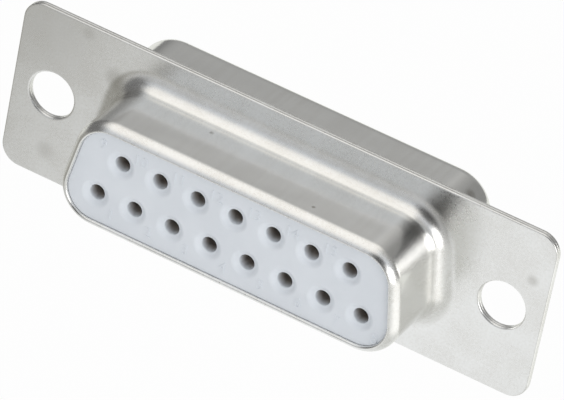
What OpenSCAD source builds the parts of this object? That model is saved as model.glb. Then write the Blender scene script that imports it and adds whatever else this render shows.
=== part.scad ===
// Fifteen-way D-shaped receptacle housing, for fixing in a panel. Crimped contacts go in
// from behind, and none is fitted.
// X runs along the flange, -Y is the mating side and +Z is the side of the shorter row.
// The origin is the centre of the flange's front face, midway between its two holes.
// Each piece is built lying on its back, with depth counted forward from that face,
// and facing() then stands it up.

/* [Flange] */
// Length of the flange
flange_len = 39.14; // [38.4:0.01:52]
// Height of the flange
flange_h = 12.55; // [11.6:0.01:20]
// Radius of the flange's corners
flange_corner_r = 1.4; // [0.5:0.05:3]
// Thickness of the steel sheet of each shell
sheet_t = 0.25; // [0.2:0.01:0.32]
// Distance between the two fixing holes
hole_spacing = 33.32; // [32:0.01:34.4]
// Diameter of the fixing holes
hole_d = 3.3; // [2.8:0.05:3.4]
// Rounding of each hole's front edge
hole_edge_r = 0.12; // [0.04:0.01:0.18]

/* [Mating shell] */
// Width of the D outline at its wide side
d_w = 24.66; // [24:0.01:26]
// Height of the D outline
d_h = 7.9; // [7.6:0.01:9.4]
// Slope of the two ends of the D
d_slope = 10; // [6:0.5:12]
// Outer radius of the D's corners
d_corner_r = 2.6; // [2.2:0.05:3]
// Reach of the shell in front of the flange
d_depth = 5.9; // [5:0.05:8]
// Outer radius of the lip that turns inwards at the front
lip_r = 1; // [0.6:0.05:1.2]
// Angle through which the lip turns
lip_turn = 60; // [45:1:75]
// Radius of the fillet where the shell meets the flange
root_r = 1.2; // [0.5:0.05:1.5]

/* [Rear shell] */
// Width of the rear box
rear_w = 25.8; // [25.6:0.01:28]
// Height of the rear box
rear_h = 9.8; // [9.6:0.01:11]
// Outer radius of the rear box's corners
rear_corner_r = 2.75; // [2.3:0.05:3.2]
// Depth of the rear box behind the flange's front face
rear_depth = 5.3; // [4.4:0.05:9]
// Radius of the bend at the back edge of the box
rear_bend_r = 0.9; // [0.5:0.05:1]
// Width of the flat rim that is turned in at the back
rear_rim = 0.5; // [0.2:0.05:0.6]
// Radius of the fillet where the box meets the flange
rear_root_r = 0.4; // [0.2:0.05:0.6]

/* [Insulators] */
// Running gap between pieces that slip into each other
slip_gap = 0.05; // [0.03:0.01:0.08]
// Step of the insulator's face behind the shell's front lip
face_step = 0.25; // [0.05:0.05:0.5]
// Depth behind the flange's front face at which the two insulators meet
split_depth = 1.7; // [1.6:0.05:2.4]
// Height of the rear insulator's boss behind the rear shell
boss_h = 0.9; // [0.4:0.05:2]

/* [Contact cavities] */
// Distance between neighbours in a row
pitch = 2.77; // [2.7:0.01:2.84]
// Distance between the two rows
row_gap = 2.84; // [2.7:0.01:3]
// Diameter of each entry hole at the front insulator's face
entry_d = 1.9; // [1.6:0.05:2.2]
// Depth of the cone of each entry hole
cone_depth = 0.4; // [0.2:0.05:0.8]
// Diameter of the straight bore behind the cone, which guides a pin
guide_d = 1.1; // [1.06:0.01:1.4]
// Length of the straight bore
guide_len = 2; // [1:0.1:3]
// Diameter of the chamber behind it, which holds a contact
chamber_d = 1.9; // [1.7:0.05:2.1]
// Length over which the rear insulator has the chamber's diameter, to retain the contact
collar_len = 0.8; // [0.4:0.1:1.5]
// Diameter of the bore behind, through which the contact goes in
rear_bore_d = 2.3; // [2.15:0.05:2.35]
// Chamfer at the rear mouth of the bore
mouth_chamfer = 0.15; // [0.05:0.01:0.15]

/* [Hidden] */
$fn = 96;
// Overrun of every cut past the face that it opens
cut = 0.2;
// Flat strip outside each root fillet, which runs halfway into the flange
root_lap = 0.2;
// Cavities in the longer row, which has the numbers 1 to 8
long_row = 8;
// Cavities in all
cavity_count = 15;
// Inset of an insulator inside the outline of the shell around it
inside_wall = sheet_t + slip_gap;
// Forward position at which the lip's bend begins, in whole micrometres
lip_f = round(1000 * (d_depth - lip_r * sin(lip_turn))) / 1000;
// Inset of the lip's inner edge inside the outline
lip_inset = lip_r - (lip_r - sheet_t) * cos(lip_turn);
// Forward position of the front insulator's face, and of the steps inside each cavity
face_f = d_depth - face_step;
guide_f = face_f - cone_depth;
chamber_f = guide_f - guide_len;
// Forward positions behind the flange are negative
split_f = -split_depth;
back_f = -rear_depth;
boss_f = back_f - boss_h;
collar_f = split_f - collar_len;
// Opening at the back of the rear shell, as an inset from the box's outline
rear_inset = rear_bend_r + rear_rim;

// The four rounded corners of an outline, each as [x, y, first angle, last angle]
function corners(low, high, y, slope) = [
  [low, -y, -90, slope],
  [high, y, slope, 90],
  [-high, y, 90, 180 - slope],
  [-low, -y, 180 - slope, 270]
];

function box_corners(w, h, r) = corners(w / 2 - r, w / 2 - r, h / 2 - r, 0);

// The corners sit on whole micrometres, and the slope is the one that joins them exactly
function d_corners() =
  let (y = d_h / 2 - d_corner_r)
  let (low = d_w / 2 - d_corner_r)
  let (high = round(1000 * (low - 2 * y * tan(d_slope))) / 1000)
  corners(low, high, y, atan2(low - high, 2 * y));

flange_outline = box_corners(flange_len, flange_h, flange_corner_r);
rear_outline = box_corners(rear_w, rear_h, rear_corner_r);
d_outline = d_corners();

// Numbers 1 to 8 fill the wide side from left to right, and 9 to 15 the narrow side
function cavity_place(i) =
  i <= long_row
    ? [(i - (long_row + 1) / 2) * pitch, -row_gap / 2]
    : [(i - long_row - (cavity_count - long_row + 1) / 2) * pitch, row_gap / 2];

module facing() {
  rotate([90, 0, 0])
    children();
}

// A flat shape with round corners, each of radius r
module rounded(outline, r) {
  polygon([for (c = outline) for (a = [c[2], c[3]]) [c[0] + r * cos(a), c[1] + r * sin(a)]]);
  for (c = outline)
    translate([c[0], c[1]])
      circle(r);
}

module slab(f0, f1) {
  translate([0, 0, f0])
    linear_extrude(f1 - f0)
      children();
}

// Carries a section round an outline of corner radius r.
// The section's x is its distance outside the outline, and its y is the forward position.
module round_sweep(outline, r) {
  for (i = [0:len(outline) - 1]) {
    here = outline[i];
    next = outline[(i + 1) % len(outline)];
    side = norm([next[0] - here[0], next[1] - here[1]]);
    translate([here[0], here[1], 0])
      rotate([0, 0, here[2]])
        rotate_extrude(angle = here[3] - here[2])
          translate([r, 0])
            children();
    // Each straight side is a whole number of millimetres and the rest
    for (part = [[0, floor(side)], [floor(side), side - floor(side)]])
      translate([next[0], next[1], 0])
        rotate([0, 0, here[3]])
          translate([0, -part[0], 0])
            rotate([90, 0, 0])
              linear_extrude(part[1])
                translate([r, 0])
                  children();
  }
}

// A quarter of a bend in the sheet, with its outer radius r in the quadrant [sx, sy]
module bend(r, sx, sy) {
  difference() {
    intersection() {
      circle(r);
      translate([sx < 0 ? -r : 0, sy < 0 ? -r : 0])
        square(r);
    }
    circle(r - sheet_t);
  }
}

module front_shell_section() {
  translate([-lip_r, lip_f])
    intersection() {
      bend(lip_r, 1, 1);
      polygon([[0, 0], [2 * lip_r, 0], [2 * lip_r, lip_r], 2 * lip_r * [cos(lip_turn), sin(lip_turn)]]);
    }
  translate([-sheet_t, root_r])
    square([sheet_t, lip_f - root_r]);
  translate([root_r, root_r])
    bend(root_r + sheet_t, -1, -1);
  translate([root_r, -sheet_t])
    square([root_lap, sheet_t]);
}

module rear_shell_section() {
  root_f = -2 * sheet_t - rear_root_r;
  translate([rear_root_r, -2 * sheet_t])
    square([root_lap, sheet_t]);
  translate([rear_root_r, root_f])
    bend(rear_root_r + sheet_t, -1, 1);
  translate([-sheet_t, back_f + rear_bend_r])
    square([sheet_t, root_f - back_f - rear_bend_r]);
  translate([-rear_bend_r, back_f + rear_bend_r])
    bend(rear_bend_r, 1, -1);
  translate([-rear_inset, back_f])
    square([rear_rim, sheet_t]);
}

// One sheet of the flange, with an opening for the shell's root and the two fixing holes
module flange_sheet(f0, opening, opening_r) {
  difference() {
    slab(f0, f0 + sheet_t)
      rounded(flange_outline, flange_corner_r);
    slab(f0 - cut, f0 + sheet_t + cut)
      rounded(opening, opening_r);
    for (side = [-1, 1])
      translate([side * hole_spacing / 2, 0, f0 - cut])
        cylinder(d = hole_d, h = sheet_t + 2 * cut);
  }
}

// Cuts the rounded front edge of a fixing hole
module hole_edge() {
  rotate_extrude()
    difference() {
      translate([hole_d / 2 - hole_edge_r, -hole_edge_r])
        square([2 * hole_edge_r, 2 * hole_edge_r]);
      translate([hole_d / 2 + hole_edge_r, -hole_edge_r])
        circle(hole_edge_r);
    }
}

module front_shell() {
  color("silver")
    facing() {
      round_sweep(d_outline, d_corner_r)
        front_shell_section();
      difference() {
        flange_sheet(-sheet_t, d_outline, d_corner_r + root_r + root_lap / 2);
        for (side = [-1, 1])
          translate([side * hole_spacing / 2, 0, 0])
            hole_edge();
      }
    }
}

module rear_shell() {
  color("lightgray")
    facing() {
      round_sweep(rear_outline, rear_corner_r)
        rear_shell_section();
      flange_sheet(-2 * sheet_t, rear_outline, rear_corner_r + rear_root_r + root_lap / 2);
    }
}

// Cuts one cavity through the front insulator: entry cone, straight bore and chamber
module front_cavity() {
  translate([0, 0, face_f])
    cylinder(d = entry_d, h = cut);
  translate([0, 0, guide_f])
    cylinder(d1 = guide_d, d2 = entry_d, h = cone_depth);
  translate([0, 0, chamber_f - cut])
    cylinder(d = guide_d, h = guide_len + cut);
  translate([0, 0, split_f - cut])
    cylinder(d = chamber_d, h = chamber_f - split_f + cut);
}

// Cuts one cavity through the rear insulator: retaining collar, then the bore from behind
module rear_cavity() {
  translate([0, 0, collar_f - cut])
    cylinder(d = chamber_d, h = collar_len + 2 * cut);
  translate([0, 0, boss_f - cut])
    cylinder(d = rear_bore_d, h = collar_f - boss_f + cut);
  translate([0, 0, boss_f])
    cylinder(d1 = rear_bore_d + 2 * mouth_chamfer, d2 = rear_bore_d, h = mouth_chamfer);
}

module front_insulator() {
  // Forward position where the insulator narrows to pass the lip
  neck_f = lip_f - slip_gap;
  color("lightsteelblue")
    facing()
      difference() {
        union() {
          slab(split_f, -inside_wall)
            rounded(rear_outline, rear_corner_r - inside_wall);
          slab(split_f, neck_f)
            rounded(d_outline, d_corner_r - inside_wall);
          slab(split_f, face_f)
            rounded(d_outline, d_corner_r - lip_inset - slip_gap);
        }
        for (i = [1:cavity_count])
          translate(cavity_place(i))
            front_cavity();
      }
}

module rear_insulator() {
  color("lightsteelblue")
    facing()
      difference() {
        union() {
          slab(back_f + rear_bend_r + slip_gap, split_f)
            rounded(rear_outline, rear_corner_r - inside_wall);
          slab(back_f + inside_wall, split_f)
            rounded(rear_outline, rear_corner_r - rear_bend_r - slip_gap);
          slab(boss_f, split_f)
            rounded(rear_outline, rear_corner_r - rear_inset - slip_gap);
        }
        for (i = [1:cavity_count])
          translate(cavity_place(i))
            rear_cavity();
      }
}

front_shell();
rear_shell();
front_insulator();
rear_insulator();
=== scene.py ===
import math

import bmesh
import bpy
from mathutils import Matrix, Vector, geometry


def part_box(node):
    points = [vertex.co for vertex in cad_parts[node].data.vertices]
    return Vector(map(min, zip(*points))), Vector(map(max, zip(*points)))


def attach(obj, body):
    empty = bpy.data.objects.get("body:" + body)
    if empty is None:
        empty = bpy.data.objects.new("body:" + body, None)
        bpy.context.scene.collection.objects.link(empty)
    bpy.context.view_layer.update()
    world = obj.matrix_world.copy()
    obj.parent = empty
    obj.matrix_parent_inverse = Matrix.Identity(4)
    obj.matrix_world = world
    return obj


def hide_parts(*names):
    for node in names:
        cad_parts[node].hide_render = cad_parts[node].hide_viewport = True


# Looks of a fifteen-way D-shaped receptacle housing: two plated shells and two moulded
# insulators with empty contact cavities and small raised hole numbers.
# X runs along the flange, -Y is the mating side and +Z is the side of the shorter row.
# The pieces' sizes are in millimetres, and add_piece turns them into metres.

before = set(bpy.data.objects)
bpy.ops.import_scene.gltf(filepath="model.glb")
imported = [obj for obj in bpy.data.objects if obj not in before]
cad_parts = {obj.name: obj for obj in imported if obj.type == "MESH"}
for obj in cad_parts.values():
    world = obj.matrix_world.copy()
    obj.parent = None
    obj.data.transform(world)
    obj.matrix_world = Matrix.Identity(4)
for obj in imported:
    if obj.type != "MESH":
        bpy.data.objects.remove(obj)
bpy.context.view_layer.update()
MM = 0.001


def box_mm(name):
    """The lowest and the highest corner of a CAD node's box."""
    low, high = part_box(name)
    return [v / MM for v in low], [v / MM for v in high]


# Sizes read from the CAD nodes
shell_low, shell_high = box_mm("front_shell")
plate_low, plate_high = box_mm("front_insulator")
FLANGE_LEN = shell_high[0] - shell_low[0]
FLANGE_H = shell_high[2] - shell_low[2]
D_REACH = -shell_low[1]
SHEET = shell_high[1]
REAR_DEPTH = box_mm("rear_shell")[1][1]
FACE_Y = plate_low[1]
SPLIT_Y = plate_high[1]
BOSS_Y = box_mm("rear_insulator")[1][1]
# The insulator's plate lies this far inside the outline of the rear box
PLATE_INSET = 0.3
REAR_W = plate_high[0] - plate_low[0] + 2 * PLATE_INSET
REAR_H = plate_high[2] - plate_low[2] + 2 * PLATE_INSET

# Sizes that the CAD source states, with angles in degrees
FLANGE_R = 1.4
HOLE_X, HOLE_R, HOLE_EDGE = 16.66, 1.65, 0.12
D_W, D_H, D_SLOPE, D_R = 24.66, 7.9, 10.0, 2.6
LIP_R, LIP_TURN, ROOT_R = 1.0, 60.0, 1.2
REAR_R, REAR_BEND, REAR_RIM, REAR_ROOT = 2.75, 0.9, 0.5, 0.4
GAP = 0.05
LONG_ROW, CAVITIES = 8, 15
PITCH, ROW_GAP = 2.77, 2.84
ENTRY_R, GUIDE_R, CHAMBER_R, BORE_R = 0.95, 0.55, 0.95, 1.15
CONE, GUIDE, COLLAR, MOUTH = 0.4, 2.0, 0.8, 0.15

# Roundings of the sheets' edges that show, of those that barely do, and of the moulded boss
EDGE, FINE_EDGE, MOULDED_EDGE = 0.08, 0.035, 0.12
# Flat strip beside a rounding, which keeps the smooth shading off the flat face
LEAD = 0.05
# Bevels of the lip's cut edge, outside and inside, and where its arcs stop short of it
LIP_BEVELS = (0.03, 0.015)
LIP_STOPS = (3, 2)
# The insulator's raised face laps under the lip's edge, so that no gap shows there
FACE_LAP, FACE_EDGE = 0.02, 0.015
# The soft dip that leads into each entry hole
DIP_DEPTH, DIP_SPREAD, DIP_POWER, DIP_STEPS = 0.26, 0.12, 1.2, 12
# Hole numbers: height of a figure, how far it stands out and how far it is sunk in, the
# font's size for that height, and where it stands from its hole in the two rows
NUMBER_H, NUMBER_RISE, NUMBER_SINK = 0.8, 0.04, 0.03
FONT_SIZE = NUMBER_H * 1.35
NUMBER_LONG_ROW, NUMBER_SHORT_ROW = (1.28, -1.05), (-1.45, 0.93)

ARC_STEPS, BEND_STEPS, HOLE_STEPS = 20, 12, 64


def corner_arcs(w, h, r, slope=0.0):
    """The four corners of an outline: centre x, centre z, first angle, last angle."""
    z = h / 2 - r
    low = w / 2 - r
    high = low - 2 * z * math.tan(math.radians(slope))
    return [(low, -z, -90.0, slope), (high, z, slope, 90.0),
            (-high, z, 90.0, 180.0 - slope), (-low, -z, 180.0 - slope, 270.0)]


# Outlines, each with the radius of its corners
FLANGE = (corner_arcs(FLANGE_LEN, FLANGE_H, FLANGE_R), FLANGE_R)
DEE = (corner_arcs(D_W, D_H, D_R, D_SLOPE), D_R)
REAR = (corner_arcs(REAR_W, REAR_H, REAR_R), REAR_R)


def cavity_place(i):
    """Where cavity i is; the longer row has the first numbers."""
    if i <= LONG_ROW:
        return (i - (LONG_ROW + 1) / 2) * PITCH, -ROW_GAP / 2
    return (i - (LONG_ROW + 1 + CAVITIES) / 2) * PITCH, ROW_GAP / 2


PLACES = [cavity_place(i) for i in range(1, CAVITIES + 1)]


def arc(o, y, r, first, last, steps=BEND_STEPS):
    """Points of an arc in a section, where o is the distance outside the outline."""
    points = []
    for k in range(steps + 1):
        a = math.radians(first + (last - first) * k / steps)
        points.append((o + r * math.cos(a), y + r * math.sin(a)))
    return points


def add_piece(name, verts, faces, material, smooth=(), weld=False):
    """A piece on the one body, with its faces flat unless smooth says otherwise."""
    mesh = bpy.data.meshes.new(name)
    mesh.from_pydata([(x * MM, y * MM, z * MM) for x, y, z in verts], [], faces)
    for polygon, soft in zip(mesh.polygons, smooth):
        polygon.use_smooth = soft
    work = bmesh.new()
    work.from_mesh(mesh)
    if weld:
        bmesh.ops.remove_doubles(work, verts=work.verts, dist=1e-8)
    bmesh.ops.recalc_face_normals(work, faces=work.faces)
    work.to_mesh(mesh)
    work.free()
    mesh.materials.append(material)
    piece = bpy.data.objects.new(name, mesh)
    bpy.context.scene.collection.objects.link(piece)
    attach(piece, "root")
    return piece


class Skin:
    """A closed mesh built from loops, strips between them, and flat fills."""

    def __init__(self):
        self.verts = []
        self.faces = []
        self.smooth = []

    def add(self, x, y, z):
        self.verts.append((x, y, z))
        return len(self.verts) - 1

    def outline(self, shape, o, y):
        arcs, r = shape
        loop = []
        for x, z, first, last in arcs:
            for k in range(ARC_STEPS + 1):
                a = math.radians(first + (last - first) * k / ARC_STEPS)
                loop.append(self.add(x + (r + o) * math.cos(a), y, z + (r + o) * math.sin(a)))
        return loop

    def circle(self, centre, r, y):
        loop = []
        for k in range(HOLE_STEPS):
            a = 2 * math.pi * k / HOLE_STEPS
            loop.append(self.add(centre[0] + r * math.cos(a), y, centre[1] + r * math.sin(a)))
        return loop

    def sweep(self, loops):
        """Smooth strips from each loop to the next."""
        for a, b in zip(loops, loops[1:]):
            for k in range(len(a)):
                m = (k + 1) % len(a)
                self.faces.append((a[k], a[m], b[m], b[k]))
                self.smooth.append(True)

    def fill(self, *loops):
        """A flat face with the first loop outside and the others as holes."""
        flat = [v for loop in loops for v in loop]
        corners = [[Vector(self.verts[v]) * MM for v in loop] for loop in loops]
        for triangle in geometry.tessellate_polygon(corners):
            self.faces.append(tuple(flat[v] for v in triangle))
            self.smooth.append(False)

    def build(self, name, material, replaced):
        piece = add_piece(name, self.verts, self.faces, material, self.smooth)
        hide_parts(replaced)


# ------------------------------------------------------------- shader nodes

def tree_of(name):
    material = bpy.data.materials.new(name)
    material.use_nodes = True
    material.node_tree.nodes.clear()
    return material, material.node_tree


def node(tree, kind, inputs=None, **settings):
    """A new node; an input is either a plain value or the socket that feeds it."""
    made = tree.nodes.new(kind)
    for key, value in settings.items():
        setattr(made, key, value)
    for key, value in (inputs or {}).items():
        if isinstance(value, bpy.types.NodeSocket):
            tree.links.new(value, made.inputs[key])
        else:
            made.inputs[key].default_value = value
    return made


def math_node(tree, operation, a, b=0.0, c=0.0):
    return node(tree, "ShaderNodeMath", {0: a, 1: b, 2: c}, operation=operation).outputs[0]


def product(tree, *factors):
    """All the factors multiplied."""
    total = factors[-1]
    for factor in factors[-2::-1]:
        total = math_node(tree, "MULTIPLY", factor, total)
    return total


def ramp(tree, value, low, high, to_low=0.0, to_high=1.0):
    """Smooth change from to_low to to_high while value goes from low to high."""
    return node(tree, "ShaderNodeMapRange",
                {"Value": value, "From Min": low, "From Max": high,
                 "To Min": to_low, "To Max": to_high},
                interpolation_type="SMOOTHSTEP").outputs[0]


def distance(tree, place, point):
    return node(tree, "ShaderNodeVectorMath", {0: place, 1: point},
                operation="DISTANCE").outputs["Value"]


def mix_colour(tree, factor, a, b, blend="MIX"):
    return node(tree, "ShaderNodeMix", {0: factor, 6: a, 7: b},
                data_type="RGBA", blend_type=blend).outputs[2]


def layered(tree, base, layers):
    """Lays shades over a base in turn, each given as (factor, shade)."""
    for factor, shade in layers:
        base = mix_colour(tree, factor, base, shade)
    return base


def noise(tree, vector, scale, detail=3.0, roughness=0.55):
    """Noise whose scale is per metre, so that 5000 gives a grain of about 0.2 mm."""
    return node(tree, "ShaderNodeTexNoise",
                {"Vector": vector, "Scale": scale, "Detail": detail,
                 "Roughness": roughness}).outputs["Fac"]


def stretched_noise(tree, vector, across, along, detail, roughness):
    """Noise with one scale along Y and another one across it, both per metre."""
    mapped = node(tree, "ShaderNodeMapping",
                  {"Vector": vector, "Scale": (across, along, across)}).outputs[0]
    return noise(tree, mapped, 1.0, detail, roughness)


def spots(tree, place, marks):
    """Sum of soft round marks, each given as (x, y, z, radius, strength) in millimetres."""
    total = 0.0
    for x, y, z, radius, strength in marks:
        away = distance(tree, place, (x * MM, y * MM, z * MM))
        mark = ramp(tree, away, 0.15 * radius * MM, radius * MM, strength, 0.0)
        total = math_node(tree, "ADD", mark, total)
    return total


def finish_material(tree, colour, roughness, bump, metallic):
    shader = node(tree, "ShaderNodeBsdfPrincipled",
                  {"Base Color": colour, "Roughness": roughness, "Normal": bump,
                   "Metallic": metallic})
    node(tree, "ShaderNodeOutputMaterial", {"Surface": shader.outputs[0]})


# ---------------------------------------------------------------- materials

# Pairs of colours between which the plating's grain and its drawing lines vary
SATIN = ((0.785, 0.775, 0.75, 1), (0.92, 0.92, 0.91, 1))
BRIGHT = ((0.865, 0.86, 0.84, 1), (0.89, 0.89, 0.875, 1))
# Dark colour of the stains, also used for painted shade and a painted reflection
DIRT_AND_SHADE = (0.20, 0.175, 0.13, 1)
PLASTIC = ((0.72, 0.757, 0.80, 1), (0.75, 0.787, 0.83, 1))
# Painted shade deep in the cavities, where little light gets and what does is warm
CAVITY_SHADE = (0.55, 0.49, 0.43, 1)

# Stains and specks, and painted shade: the wide mark at the flange's top-left corner is painted
# shade, and the one beside the D's top-right corner is a painted reflection; each as (x, y, z,
# radius, strength)
FRONT_MARKS = [(-17.6, 0.0, 5.0, 5.5, 0.16), (-12.4, -0.1, 3.3, 1.1, 0.42),
               (18.3, 0.0, 2.7, 0.6, 0.35), (-16.4, 0.0, -4.2, 1.0, 0.22),
               (-4.3, -1.8, 3.95, 0.22, 0.7), (4.65, -4.4, 3.95, 0.2, 0.6),
               (-14.8, 0.0, 5.7, 0.7, 0.18), (11.3, -0.1, 4.5, 1.7, 0.38)]
REAR_MARKS = [(11.8, 3.3, 4.4, 0.55, 0.5)]


def plated(name, flat_low, flat_high, marks, lean):
    """Tin plate over deep-drawn steel: satin and mottled on the flat flange, which lies from
    flat_low to flat_high along Y, and on the lip, and brighter on the drawn walls between.
    The marks darken it with stains, and also with painted shade and a painted reflection.
    The shading leans the walls by lean, as the draft of the drawing does."""
    material, tree = tree_of(name)
    place = node(tree, "ShaderNodeTexCoord").outputs["Object"]
    y = node(tree, "ShaderNodeSeparateXYZ", {0: place}).outputs["Y"]
    front = ramp(tree, y, flat_low * MM, (flat_low + 0.5) * MM, 1.0, 0.0)
    back = ramp(tree, y, flat_high * MM, (flat_high + 0.3) * MM)
    behind_lip = ramp(tree, y, (flat_low - 4.4) * MM, (flat_low - 3.8) * MM)
    drawn = math_node(tree, "MAXIMUM", product(tree, front, behind_lip), back)

    speckle = noise(tree, place, 5200.0, 4.0, 0.65)
    cloud = noise(tree, place, 330.0, 4.0, 0.55)
    streak = stretched_noise(tree, place, 2600.0, 90.0, 3.0, 0.6)
    wave = stretched_noise(tree, place, 240.0, 420.0, 1.0, 0.4)
    grain = math_node(tree, "MULTIPLY_ADD", cloud, 0.5, product(tree, speckle, 0.5))

    satin = mix_colour(tree, ramp(tree, grain, 0.32, 0.66), *SATIN)
    bright = mix_colour(tree, ramp(tree, streak, 0.3, 0.7), *BRIGHT)
    # Marks darken the plate: stains, and also painted shade and a painted reflection
    dirt_and_shade = product(tree, spots(tree, place, marks), ramp(tree, grain, 0.35, 0.6, 0.35, 1.0))
    colour = layered(tree, satin, [(drawn, bright), (dirt_and_shade, DIRT_AND_SHADE)])
    satin_rough = math_node(tree, "MULTIPLY_ADD", grain, 0.20, 0.18)
    bright_rough = math_node(tree, "MULTIPLY_ADD", streak, 0.06, 0.14)
    rough = node(tree, "ShaderNodeMix", {0: drawn, 2: satin_rough, 3: bright_rough},
                 data_type="FLOAT").outputs[0]

    flat = math_node(tree, "SUBTRACT", 1.0, drawn)
    height = math_node(tree, "ADD", product(tree, speckle, flat),
                       product(tree, streak, drawn, 0.06))
    fine = node(tree, "ShaderNodeBump", {"Strength": 0.11, "Distance": 0.00004,
                                         "Height": height})
    broad = node(tree, "ShaderNodeBump", {"Strength": 0.10, "Distance": 0.0002,
                                          "Height": wave, "Normal": fine.outputs[0]})
    draft = node(tree, "ShaderNodeBump", {"Strength": 1.0, "Distance": 1.0,
                                          "Height": product(tree, y, lean),
                                          "Normal": broad.outputs[0]})
    finish_material(tree, colour, rough, draft.outputs[0], 1.0)
    return material


def moulded(name):
    """Matte moulded thermoplastic with a faint grain, and painted shade deep in its cavities.
    """
    material, tree = tree_of(name)
    place = node(tree, "ShaderNodeTexCoord").outputs["Object"]
    y = node(tree, "ShaderNodeSeparateXYZ", {0: place}).outputs["Y"]
    cloud = noise(tree, place, 420.0, 4.0, 0.5)
    grain = noise(tree, place, 9000.0, 2.0, 0.5)
    # Painted shade: the plastic turns darker and warmer deeper than just behind the front face,
    # short of the back, which shows in the cavities
    inside = ramp(tree, y, (FACE_Y + 0.3) * MM, (FACE_Y + 1.3) * MM)
    before_back = ramp(tree, y, (REAR_DEPTH - 0.4) * MM, REAR_DEPTH * MM, 1.0, 0.0)
    colour = mix_colour(tree, ramp(tree, cloud, 0.3, 0.7), *PLASTIC)
    colour = mix_colour(tree, product(tree, inside, before_back), colour, CAVITY_SHADE)
    rough = math_node(tree, "MULTIPLY_ADD", grain, 0.18, 0.46)
    bump = node(tree, "ShaderNodeBump", {"Strength": 0.16, "Distance": 0.00002,
                                         "Height": grain})
    finish_material(tree, colour, rough, bump.outputs[0], 0.0)
    return material


steel_front = plated("plated_steel_front", -1.0, 0.35, FRONT_MARKS, 0.02)
steel_rear = plated("plated_steel_rear", -0.2, 0.6, REAR_MARKS, 0.0)
plastic = moulded("insulator_grey")


# ------------------------------------------------------------------- shells

def flange_edge(skin, front_y, back_y, front_round, back_round):
    """The outer edge of a flange sheet; returns its loops on the front and the back face."""
    section = [(-front_round - LEAD, front_y)]
    section += arc(-front_round, front_y + front_round, front_round, -90, 0, 6)
    section += arc(-back_round, back_y - back_round, back_round, 0, 90, 4)
    section += [(-back_round - LEAD, back_y)]
    loops = [skin.outline(FLANGE, o, y) for o, y in section]
    skin.sweep(loops)
    return loops[0], loops[-1]


def fixing_hole(skin, side, front_y, back_y, front_round, back_round):
    """The wall of a fixing hole; returns its loops on the front and the back face."""
    section = [(front_round + LEAD, front_y)]
    section += arc(front_round, front_y + front_round, front_round, -90, -180, 6)
    section += arc(back_round, back_y - back_round, back_round, 180, 90, 4)
    section += [(back_round + LEAD, back_y)]
    loops = [skin.circle((side * HOLE_X, 0.0), HOLE_R + o, y) for o, y in section]
    skin.sweep(loops)
    return loops[0], loops[-1]


def close_flange(skin, rims):
    """The two flat faces of a flange sheet, from pairs of loops with the outer edge first."""
    fronts, backs = zip(*rims)
    skin.fill(*fronts)
    skin.fill(*backs)


def make_front_shell():
    skin = Skin()
    turn = math.radians(LIP_TURN)
    lip_y = LIP_R * math.sin(turn) - D_REACH
    section = [(ROOT_R + LEAD, 0.0)]
    section += arc(ROOT_R, -ROOT_R, ROOT_R, 90, 180, 16)
    section += [(0.0, -ROOT_R - LEAD), (0.0, lip_y + LEAD)]
    section += arc(-LIP_R, lip_y, LIP_R, 0, LIP_STOPS[0] - LIP_TURN, 16)
    for r in (LIP_R - LIP_BEVELS[0], LIP_R - SHEET + LIP_BEVELS[1]):
        section.append((-LIP_R + r * math.cos(turn), lip_y - r * math.sin(turn)))
    section += arc(-LIP_R, lip_y, LIP_R - SHEET, LIP_STOPS[1] - LIP_TURN, 0)
    section += [(-SHEET, lip_y + LEAD), (-SHEET, -ROOT_R - LEAD)]
    section += arc(ROOT_R, -ROOT_R, ROOT_R + SHEET, 180, 90)
    section += [(ROOT_R + LEAD, SHEET)]
    loops = [skin.outline(DEE, o, y) for o, y in section]
    skin.sweep(loops)
    close_flange(skin, [flange_edge(skin, 0.0, SHEET, EDGE, FINE_EDGE), (loops[0], loops[-1]),
                        fixing_hole(skin, -1, 0.0, SHEET, HOLE_EDGE, FINE_EDGE),
                        fixing_hole(skin, 1, 0.0, SHEET, HOLE_EDGE, FINE_EDGE)])
    skin.build("front_shell_skin", steel_front, "front_shell")


def make_rear_shell():
    skin = Skin()
    front_y, back_y = SHEET, 2 * SHEET
    root_y = back_y + REAR_ROOT
    bend_y = REAR_DEPTH - REAR_BEND
    rim = REAR_BEND + REAR_RIM - FINE_EDGE
    section = [(REAR_ROOT + LEAD, back_y)]
    section += arc(REAR_ROOT, root_y, REAR_ROOT, -90, -180)
    section += [(0.0, root_y + LEAD), (0.0, bend_y - LEAD)]
    section += arc(-REAR_BEND, bend_y, REAR_BEND, 0, 90)
    section += [(-REAR_BEND - LEAD, REAR_DEPTH)]
    section += arc(-rim, REAR_DEPTH - FINE_EDGE, FINE_EDGE, 90, 180, 4)
    section += arc(-rim, REAR_DEPTH - SHEET + FINE_EDGE, FINE_EDGE, 180, 270, 4)
    section += [(-REAR_BEND - LEAD, REAR_DEPTH - SHEET)]
    section += arc(-REAR_BEND, bend_y, REAR_BEND - SHEET, 90, 0)
    section += [(-SHEET, bend_y - LEAD), (-SHEET, root_y + LEAD)]
    section += arc(REAR_ROOT, root_y, REAR_ROOT + SHEET, -180, -90)
    section += [(REAR_ROOT + LEAD, front_y)]
    loops = [skin.outline(REAR, o, y) for o, y in section]
    skin.sweep(loops)
    close_flange(skin, [flange_edge(skin, front_y, back_y, FINE_EDGE, EDGE),
                        (loops[-1], loops[0]),
                        fixing_hole(skin, -1, front_y, back_y, FINE_EDGE, EDGE),
                        fixing_hole(skin, 1, front_y, back_y, FINE_EDGE, EDGE)])
    skin.build("rear_shell_skin", steel_rear, "rear_shell")


# --------------------------------------------------------------- insulators

def bores(skin, section):
    """A bore in each cavity's place; returns their first loops and their last ones."""
    firsts, lasts = [], []
    for place in PLACES:
        rings = [skin.circle(place, r, y) for r, y in section]
        skin.sweep(rings)
        firsts.append(rings[0])
        lasts.append(rings[-1])
    return firsts, lasts


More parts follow.
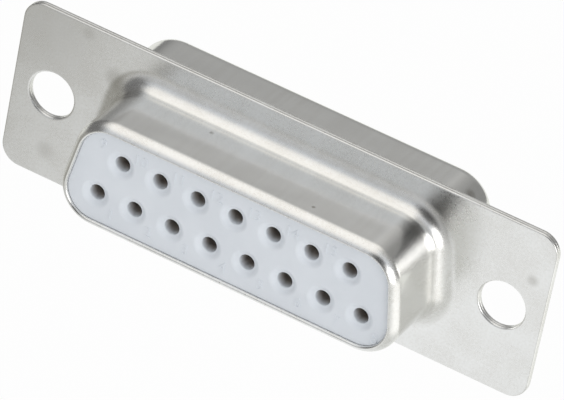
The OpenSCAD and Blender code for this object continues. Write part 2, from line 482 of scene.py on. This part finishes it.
def make_front_insulator():
    skin = Skin()
    inside = SHEET + GAP
    turn = math.radians(LIP_TURN)
    neck_y = LIP_R * math.sin(turn) - D_REACH + GAP
    boss = LIP_R - (LIP_R - SHEET) * math.cos(turn) - FACE_LAP
    section = [(-boss - FACE_EDGE - LEAD, FACE_Y)]
    section += arc(-boss - FACE_EDGE, FACE_Y + FACE_EDGE, FACE_EDGE, -90, 0, 5)
    section += [(-boss, neck_y - LEAD), (-boss, neck_y), (-inside, neck_y),
                (-inside, neck_y + LEAD), (-inside, inside)]
    loops = [skin.outline(DEE, o, y) for o, y in section]
    skin.sweep(loops)
    plate = [skin.outline(REAR, -inside, y) for y in (inside, inside + LEAD, SPLIT_Y)]
    skin.sweep(plate)
    skin.fill(plate[0], loops[-1])

    guide_y = FACE_Y + CONE + GUIDE
    spread = ENTRY_R + DIP_SPREAD - GUIDE_R
    section = []
    for k in range(DIP_STEPS + 1):
        u = k / DIP_STEPS
        fall = (1 - math.cos(math.pi * u ** DIP_POWER)) / 2
        section.append((GUIDE_R + spread * (1 - u), FACE_Y + DIP_DEPTH * fall))
    section += [(GUIDE_R, FACE_Y + CONE), (GUIDE_R, guide_y), (CHAMBER_R, guide_y),
                (CHAMBER_R, SPLIT_Y)]
    mouths, backs = bores(skin, section)
    skin.fill(loops[0], *mouths)
    skin.fill(plate[-1], *backs)
    skin.build("front_insulator_skin", plastic, "front_insulator")


def make_rear_insulator():
    skin = Skin()
    inside = SHEET + GAP
    shoulder = REAR_BEND + GAP
    boss = REAR_BEND + REAR_RIM + GAP
    side_y = REAR_DEPTH - REAR_BEND - GAP
    rim_y = REAR_DEPTH - inside
    section = [(-inside, SPLIT_Y), (-inside, side_y), (-shoulder, side_y), (-shoulder, rim_y),
               (-boss, rim_y), (-boss, BOSS_Y - MOULDED_EDGE - LEAD)]
    section += arc(-boss - MOULDED_EDGE, BOSS_Y - MOULDED_EDGE, MOULDED_EDGE, 0, 90, 6)
    section += [(-boss - MOULDED_EDGE - LEAD, BOSS_Y)]
    loops = [skin.outline(REAR, o, y) for o, y in section]
    skin.sweep(loops)

    collar_y = SPLIT_Y + COLLAR
    fronts, mouths = bores(skin, [(CHAMBER_R, SPLIT_Y), (CHAMBER_R, collar_y),
                                  (BORE_R, collar_y), (BORE_R, BOSS_Y - MOUTH),
                                  (BORE_R + MOUTH, BOSS_Y)])
    skin.fill(loops[0], *fronts)
    skin.fill(loops[-1], *mouths)
    skin.build("rear_insulator_skin", plastic, "rear_insulator")


def figure_mesh(number):
    """A flat-sided figure, upright in X and Y and as thick as it stands out and is sunk in."""
    curve = bpy.data.curves.new("number", "FONT")
    curve.body = str(number)
    curve.size = FONT_SIZE
    curve.align_x = "CENTER"
    curve.align_y = "CENTER"
    curve.extrude = (NUMBER_RISE + NUMBER_SINK) / 2
    curve.resolution_u = 3
    text = bpy.data.objects.new("number", curve)
    bpy.context.scene.collection.objects.link(text)
    bpy.context.view_layer.update()
    graph = bpy.context.evaluated_depsgraph_get()
    shape = bpy.data.meshes.new_from_object(text.evaluated_get(graph))
    bpy.data.objects.remove(text)
    bpy.data.curves.remove(curve)
    return shape


def make_numbers():
    """Raised hole numbers beside the cavities, moulded on the front insulator's face."""
    verts, faces = [], []
    middle_y = FACE_Y - (NUMBER_RISE - NUMBER_SINK) / 2
    for i, (x, z) in enumerate(PLACES, start=1):
        shape = figure_mesh(i)
        dx, dz = NUMBER_LONG_ROW if i <= LONG_ROW else NUMBER_SHORT_ROW
        base = len(verts)
        for v in shape.vertices:
            verts.append((x + dx + v.co.x, middle_y - v.co.z, z + dz + v.co.y))
        faces += [tuple(base + k for k in p.vertices) for p in shape.polygons]
        bpy.data.meshes.remove(shape)
    add_piece("hole_numbers", verts, faces, plastic, weld=True)


make_front_shell()
make_rear_shell()
make_front_insulator()
make_rear_insulator()
make_numbers()


# ---------------------------------------------------------- stage and light

# The floor's height and half its width, in metres
FLOOR_Z, FLOOR_HALF = -0.045, 1.5
# The share of plain white that seen rays get from the floor; the rest keeps the shadow
FLOOR_WHITE = 0.93


def make_floor():
    """A pale floor that is white to seen rays. In the metal it shows as plain shades, placed
    in metres, as the darker and lighter things that stood around the real object did."""
    material, tree = tree_of("floor_white")
    place = node(tree, "ShaderNodeTexCoord").outputs["Object"]
    parts = node(tree, "ShaderNodeSeparateXYZ", {0: place})
    x, y = parts.outputs["X"], parts.outputs["Y"]
    lit = product(tree, ramp(tree, x, 0.050, 0.075), ramp(tree, y, -0.065, -0.035),
                  ramp(tree, y, 0.055, 0.072, 1.0, 0.0))
    dark_thing = distance(tree, place, (0.02, -0.27, FLOOR_Z))
    mirrored = layered(tree, (0.32, 0.315, 0.285, 1), [
        (ramp(tree, x, -0.08, -0.010), (0.95, 0.965, 0.97, 1)),
        (ramp(tree, x, -0.004, 0.035), (0.68, 0.69, 0.67, 1)),
        (ramp(tree, y, 0.0, 0.05), (0.84, 0.85, 0.81, 1)),
        (lit, (1.18, 1.18, 1.15, 1)),
        (ramp(tree, y, -0.24, -0.09, 1.0, 0.0), (0.55, 0.55, 0.54, 1)),
        (ramp(tree, dark_thing, 0.06, 0.14, 1.0, 0.0), (0.12, 0.12, 0.12, 1))])

    rays = node(tree, "ShaderNodeLightPath").outputs
    seen = math_node(tree, "MAXIMUM", rays["Is Camera Ray"], rays["Is Glossy Ray"])
    seen = math_node(tree, "MAXIMUM", seen, rays["Is Transmission Ray"])
    shade = mix_colour(tree, rays["Is Glossy Ray"], (1, 1, 1, 1), mirrored)
    white = node(tree, "ShaderNodeEmission", {"Color": shade, "Strength": 1.0})
    matte = node(tree, "ShaderNodeBsdfDiffuse", {"Color": (0.93, 0.93, 0.93, 1)})
    surface = node(tree, "ShaderNodeMixShader", {0: product(tree, seen, FLOOR_WHITE),
                                                 1: matte.outputs[0], 2: white.outputs[0]})
    node(tree, "ShaderNodeOutputMaterial", {"Surface": surface.outputs[0]})

    mesh = bpy.data.meshes.new("floor")
    h = FLOOR_HALF
    mesh.from_pydata([(-h, -h, FLOOR_Z), (h, -h, FLOOR_Z), (h, h, FLOOR_Z), (-h, h, FLOOR_Z)],
                     [], [(0, 1, 2, 3)])
    mesh.materials.append(material)
    floor = bpy.data.objects.new("floor", mesh)
    bpy.context.scene.collection.objects.link(floor)


def make_world():
    """A studio room in greys by direction, white where the camera sees it."""
    world = bpy.data.worlds.new("studio")
    bpy.context.scene.world = world
    world.use_nodes = True
    tree = world.node_tree
    tree.nodes.clear()
    direction = node(tree, "ShaderNodeTexCoord").outputs["Generated"]
    parts = node(tree, "ShaderNodeSeparateXYZ", {0: direction})
    dx, dy, dz = parts.outputs["X"], parts.outputs["Y"], parts.outputs["Z"]

    front = mix_colour(tree, ramp(tree, dz, 0.42, 0.54),
                       (0.56, 0.57, 0.58, 1), (0.65, 0.68, 0.72, 1))
    back_high = product(tree, ramp(tree, dz, 0.54, 0.63), ramp(tree, dx, -0.20, 0.08, 1.0, 0.0))
    back = mix_colour(tree, back_high, (0.35, 0.35, 0.345, 1), (0.52, 0.52, 0.515, 1))
    right_back = product(tree, ramp(tree, dy, 0.2, 0.6), ramp(tree, dx, 0.05, 0.4))
    overhead = product(tree, ramp(tree, dz, 0.62, 0.91), ramp(tree, dx, 0.02, 0.30, 1.0, 0.15))
    dark_side = distance(tree, direction, (0.323, -0.763, 0.560))
    left = product(tree, ramp(tree, dx, -0.72, -0.5, 1.0, 0.0),
                   ramp(tree, dz, 0.55, 0.8, 1.0, 0.0))
    room = layered(tree, front, [
        (ramp(tree, dy, -0.35, 0.25), back),
        (right_back, (0.27, 0.27, 0.265, 1)),
        (overhead, (1.08, 1.06, 1.02, 1)),
        (ramp(tree, dark_side, 0.28, 0.58, 1.0, 0.0), (0.03, 0.03, 0.03, 1)),
        (left, (0.16, 0.16, 0.16, 1))])
    # Plain soft light from all round, which the metal doesn't mirror
    rays = node(tree, "ShaderNodeLightPath").outputs
    matte_ray = math_node(tree, "SUBTRACT", 1.0, rays["Is Glossy Ray"])
    room = mix_colour(tree, matte_ray, room, (0.265, 0.265, 0.27, 1), "ADD")

    light = node(tree, "ShaderNodeBackground", {"Color": room, "Strength": 1.0})
    white = node(tree, "ShaderNodeBackground", {"Color": (1, 1, 1, 1), "Strength": 1.0})
    pick = node(tree, "ShaderNodeMixShader", {0: rays["Is Camera Ray"],
                                              1: light.outputs[0], 2: white.outputs[0]})
    node(tree, "ShaderNodeOutputWorld", {"Surface": pick.outputs[0]})


def soft_light(name, place, size, radiance, colour):
    """A round soft light at place, in metres, turned to the object."""
    lamp = bpy.data.lights.new(name, "AREA")
    lamp.shape = "DISK"
    lamp.size = size
    lamp.energy = radiance * math.pi ** 2 * size * size / 4
    lamp.color = colour
    holder = bpy.data.objects.new(name, lamp)
    holder.location = place
    holder.rotation_euler = (-Vector(place)).to_track_quat("-Z", "Y").to_euler()
    bpy.context.scene.collection.objects.link(holder)


make_floor()
make_world()
soft_light("key", (0.44, -0.22, 0.10), 0.36, 2.3, (1.0, 0.99, 0.98))


# ------------------------------------------------------------------- camera

def make_camera(eye, target, roll, focal_length):
    """A camera at eye, looking at target, both in millimetres, and rolled by degrees."""
    lens = bpy.data.cameras.new("camera")
    lens.lens = focal_length
    lens.sensor_width = 36.0
    lens.clip_start = 0.01
    lens.clip_end = 10.0
    camera = bpy.data.objects.new("camera", lens)
    bpy.context.scene.collection.objects.link(camera)
    eye, target, roll = Vector(eye) * MM, Vector(target) * MM, math.radians(roll)
    ahead = (target - eye).normalized()
    level_right = ahead.cross(Vector((0, 0, 1))).normalized()
    level_up = level_right.cross(ahead)
    right = level_right * math.cos(roll) + level_up * math.sin(roll)
    up = level_up * math.cos(roll) - level_right * math.sin(roll)
    turned = Matrix((right, up, -ahead)).transposed().to_4x4()
    camera.matrix_world = Matrix.Translation(eye) @ turned
    bpy.context.scene.camera = camera


bpy.context.scene.view_settings.view_transform = "Standard"
make_camera((131.265, -308.768, 226.871), (0.595, 0.0, 0.186), 11.609, 407.17)
